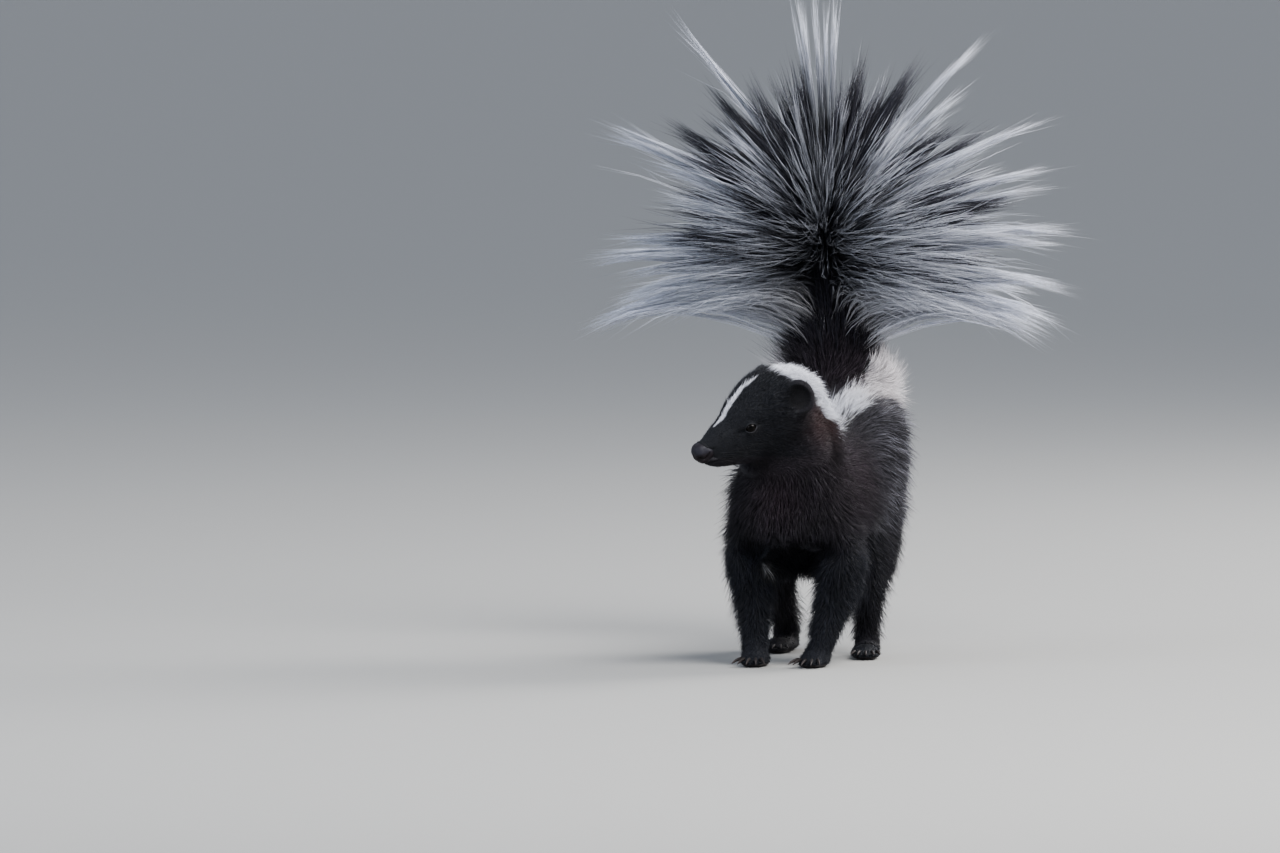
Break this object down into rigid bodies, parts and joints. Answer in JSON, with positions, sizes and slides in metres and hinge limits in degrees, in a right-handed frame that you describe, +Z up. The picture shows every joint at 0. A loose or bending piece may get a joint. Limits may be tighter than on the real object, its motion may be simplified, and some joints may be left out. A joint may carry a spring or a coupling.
{
  "type": "striped skunk model",
  "caption": "Still, life-size model of a young striped skunk, standing with its head turned to its right and its tail raised and fanned.",
  "frame": {"origin": "on the floor, under the middle of the box around the whole model", "axes": "+Z up, -Y the way the body faces, +X the animal's left"},
  "size_m": [0.3046, 0.2852, 0.4032],
  "materials": {
    "coat": "black fur with white stripes and white nape",
    "plume": "long loose hair, white with dark locks",
    "eye": "wet dark eye",
    "nose": "moist bare skin",
    "claw": "horn"
  },
  "bodies": {
    "root": {"head": "coat", "neck": "coat", "trunk": "coat", "tail_root": "coat", "ear_left": "coat", "ear_right": "coat", "foreleg_left": "coat", "foreleg_right": "coat", "hindleg_left": "coat", "hindleg_right": "coat", "forepaw_left": "coat", "forepaw_right": "coat", "hindpaw_left": "coat", "hindpaw_right": "coat", "plume_left": "plume", "plume_right": "plume", "plume_top": "plume", "eye_left": "eye", "eye_right": "eye", "nose": "nose", "claw_forepaw_left_1": "claw", "claw_forepaw_left_2": "claw", "claw_forepaw_left_3": "claw", "claw_forepaw_left_4": "claw", "claw_forepaw_left_5": "claw", "claw_forepaw_right_1": "claw", "claw_forepaw_right_2": "claw", "claw_forepaw_right_3": "claw", "claw_forepaw_right_4": "claw", "claw_forepaw_right_5": "claw", "claw_hindpaw_left_1": "claw", "claw_hindpaw_left_2": "claw", "claw_hindpaw_left_3": "claw", "claw_hindpaw_left_4": "claw", "claw_hindpaw_left_5": "claw", "claw_hindpaw_right_1": "claw", "claw_hindpaw_right_2": "claw", "claw_hindpaw_right_3": "claw", "claw_hindpaw_right_4": "claw", "claw_hindpaw_right_5": "claw"}
  },
  "joints": []
}
